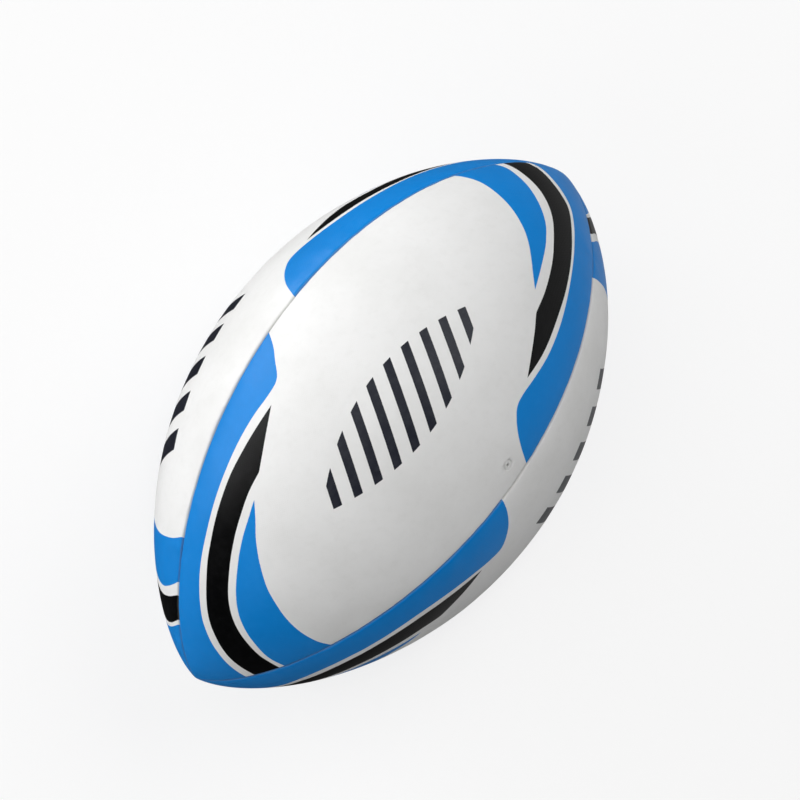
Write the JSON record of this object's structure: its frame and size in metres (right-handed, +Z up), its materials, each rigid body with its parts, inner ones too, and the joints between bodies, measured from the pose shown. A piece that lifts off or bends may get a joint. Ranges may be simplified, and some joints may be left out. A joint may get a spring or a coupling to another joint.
{
  "type": "rugby ball",
  "caption": "Inflated rugby ball with stitched rubber-faced panels, cloth backing plies, an inner bladder and a needle valve, for kicking, passing and carrying.",
  "frame": {"origin": "centre of the ball, which is the centre of its bounding box", "axes": "+X along the ball's long axis, +Z up through the middle of the panel that holds the valve, with the ball lying on its side; the valve is on the -Y side of that panel"},
  "size_m": [0.2986, 0.181, 0.181],
  "materials": {
    "cover_panel_top": "white grip rubber with blue and black print, satin, fine grain",
    "cover_panel_front": "white grip rubber with blue and black print, satin, fine grain",
    "cover_panel_bottom": "white grip rubber with blue and black print, satin, fine grain",
    "cover_panel_back": "white grip rubber with blue and black print, satin, fine grain",
    "ply_outer_top": "natural woven polyester-cotton, matte",
    "ply_middle_top": "natural woven polyester-cotton, matte",
    "ply_inner_top": "natural woven polyester-cotton, matte",
    "ply_outer_front": "natural woven polyester-cotton, matte",
    "ply_middle_front": "natural woven polyester-cotton, matte",
    "ply_inner_front": "natural woven polyester-cotton, matte",
    "ply_outer_bottom": "natural woven polyester-cotton, matte",
    "ply_middle_bottom": "natural woven polyester-cotton, matte",
    "ply_inner_bottom": "natural woven polyester-cotton, matte",
    "ply_outer_back": "natural woven polyester-cotton, matte",
    "ply_middle_back": "natural woven polyester-cotton, matte",
    "ply_inner_back": "natural woven polyester-cotton, matte",
    "seam_thread_top_front": "waxed polyester thread, dull sheen",
    "seam_thread_front_bottom": "waxed polyester thread, dull sheen",
    "seam_thread_bottom_back": "waxed polyester thread, dull sheen",
    "seam_thread_back_top": "waxed polyester thread, dull sheen",
    "bladder": "smooth black rubber, satin",
    "valve_body": "pale grey moulded rubber, satin",
    "valve_plug": "black rubber, satin",
    "valve_patch": "dark grey sheet rubber, matte"
  },
  "bodies": {
    "root": {"cover_panel_top": "cover_panel_top", "cover_panel_front": "cover_panel_front", "cover_panel_bottom": "cover_panel_bottom", "cover_panel_back": "cover_panel_back", "ply_outer_top": "ply_outer_top", "ply_middle_top": "ply_middle_top", "ply_inner_top": "ply_inner_top", "ply_outer_front": "ply_outer_front", "ply_middle_front": "ply_middle_front", "ply_inner_front": "ply_inner_front", "ply_outer_bottom": "ply_outer_bottom", "ply_middle_bottom": "ply_middle_bottom", "ply_inner_bottom": "ply_inner_bottom", "ply_outer_back": "ply_outer_back", "ply_middle_back": "ply_middle_back", "ply_inner_back": "ply_inner_back", "seam_thread_top_front": "seam_thread_top_front", "seam_thread_front_bottom": "seam_thread_front_bottom", "seam_thread_bottom_back": "seam_thread_bottom_back", "seam_thread_back_top": "seam_thread_back_top", "bladder": "bladder", "valve_body": "valve_body", "valve_plug": "valve_plug", "valve_patch": "valve_patch"}
  },
  "joints": []
}
